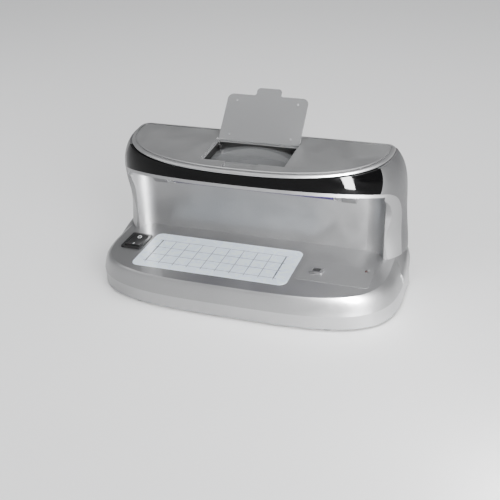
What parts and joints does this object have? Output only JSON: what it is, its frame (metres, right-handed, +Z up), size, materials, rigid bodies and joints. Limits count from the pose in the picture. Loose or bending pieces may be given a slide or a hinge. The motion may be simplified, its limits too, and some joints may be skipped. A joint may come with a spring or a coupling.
{
  "type": "counterfeit banknote detector",
  "caption": "Desktop banknote detector: open note bay under a hood with an ultraviolet tube, a lit plate ruled in centimetres, a magnetic head and a magnifier with a hinged lid.",
  "frame": {"origin": "centre of the overall box at the height the feet stand on, with the magnifier lid open", "axes": "+X to the right across the machine, +Y to the rear, +Z up; the open note bay faces -Y"},
  "size_m": [0.209, 0.1028, 0.1235],
  "materials": {
    "pan_plastic": "silver, fine satin",
    "silver_shell": "silver metallic lacquer over moulded plastic",
    "dark_shell": "dark grey, fine satin",
    "black_gloss": "polished black",
    "silver_top": "silver grey, satin",
    "lens_acrylic": "clear, polished",
    "lid_plastic": "grey, slightly translucent",
    "soft_pips": "dark grey",
    "milky_acrylic": "milky white with a printed centimetre grid",
    "white_tray": "white",
    "circuit_board": "green solder mask",
    "led_white": "white package with yellow phosphor",
    "black_plastic": "black, fine grain",
    "rocker_plastic": "black, satin",
    "contact_brass": "tinned brass",
    "sensor_steel": "brushed",
    "sensor_face": "black epoxy",
    "indicator_lens": "red, clear tinted",
    "label_film": "grey polyester film",
    "tube_glass": "deep violet filter glass",
    "cap_aluminium": "drawn",
    "reflector_aluminium": "bright",
    "white_nylon": "natural nylon",
    "coil_tape": "yellow coil tape",
    "capacitor_sleeve": "dark blue sleeve",
    "transformer_iron": "laminated, varnished",
    "wire_insulation": "red insulation",
    "foot_rubber": "black rubber",
    "screw_steel": "zinc plated"
  },
  "bodies": {
    "housing": {"base_pan": "pan_plastic", "front_housing": "silver_shell", "rear_cover": "dark_shell", "fascia_band": "black_gloss", "top_cover": "silver_top", "lens": "lens_acrylic", "lens_clamp": "black_plastic", "clamp_screws": "screw_steel", "light_plate": "milky_acrylic", "light_box": "white_tray", "backlight_board": "circuit_board", "backlight_leds": "led_white", "switch_body": "black_plastic", "switch_terminals": "contact_brass", "sensor_frame": "sensor_steel", "sensor_core": "sensor_face", "sensor_coil": "black_plastic", "indicator_led": "indicator_lens", "sensor_label": "label_film", "uv_tube": "tube_glass", "tube_caps": "cap_aluminium", "lamp_holders": "black_plastic", "lamp_reflector": "reflector_aluminium", "control_board": "circuit_board", "board_standoffs": "white_nylon", "board_screws": "screw_steel", "lamp_inverter": "coil_tape", "capacitors": "capacitor_sleeve", "control_chips": "black_plastic", "buzzer": "black_plastic", "power_board": "circuit_board", "power_standoffs": "white_nylon", "power_screws": "screw_steel", "mains_transformer": "transformer_iron", "inlet_socket": "black_plastic", "inlet_pins": "contact_brass", "mains_leads": "wire_insulation", "wire_loom": "wire_insulation", "rubber_feet": "foot_rubber", "base_screws": "screw_steel", "rear_screws": "screw_steel", "top_screws": "screw_steel"},
    "lid": {"magnifier_lid": "lid_plastic", "lid_pips": "soft_pips"},
    "rocker": {"switch_rocker": "rocker_plastic"}
  },
  "joints": [
    {"name": "lid_hinge", "type": "hinge", "parent": "housing", "child": "lid", "pos_m": [0, 0.02301, 0.09508], "axis": [1, 0, 0], "range_deg": [0, 138.4]},
    {"name": "switch_rock", "type": "hinge", "parent": "housing", "child": "rocker", "pos_m": [-0.0814, -0.00824, 0.0228], "axis": [1, 0, 0], "range_deg": [-10, 10]}
  ]
}
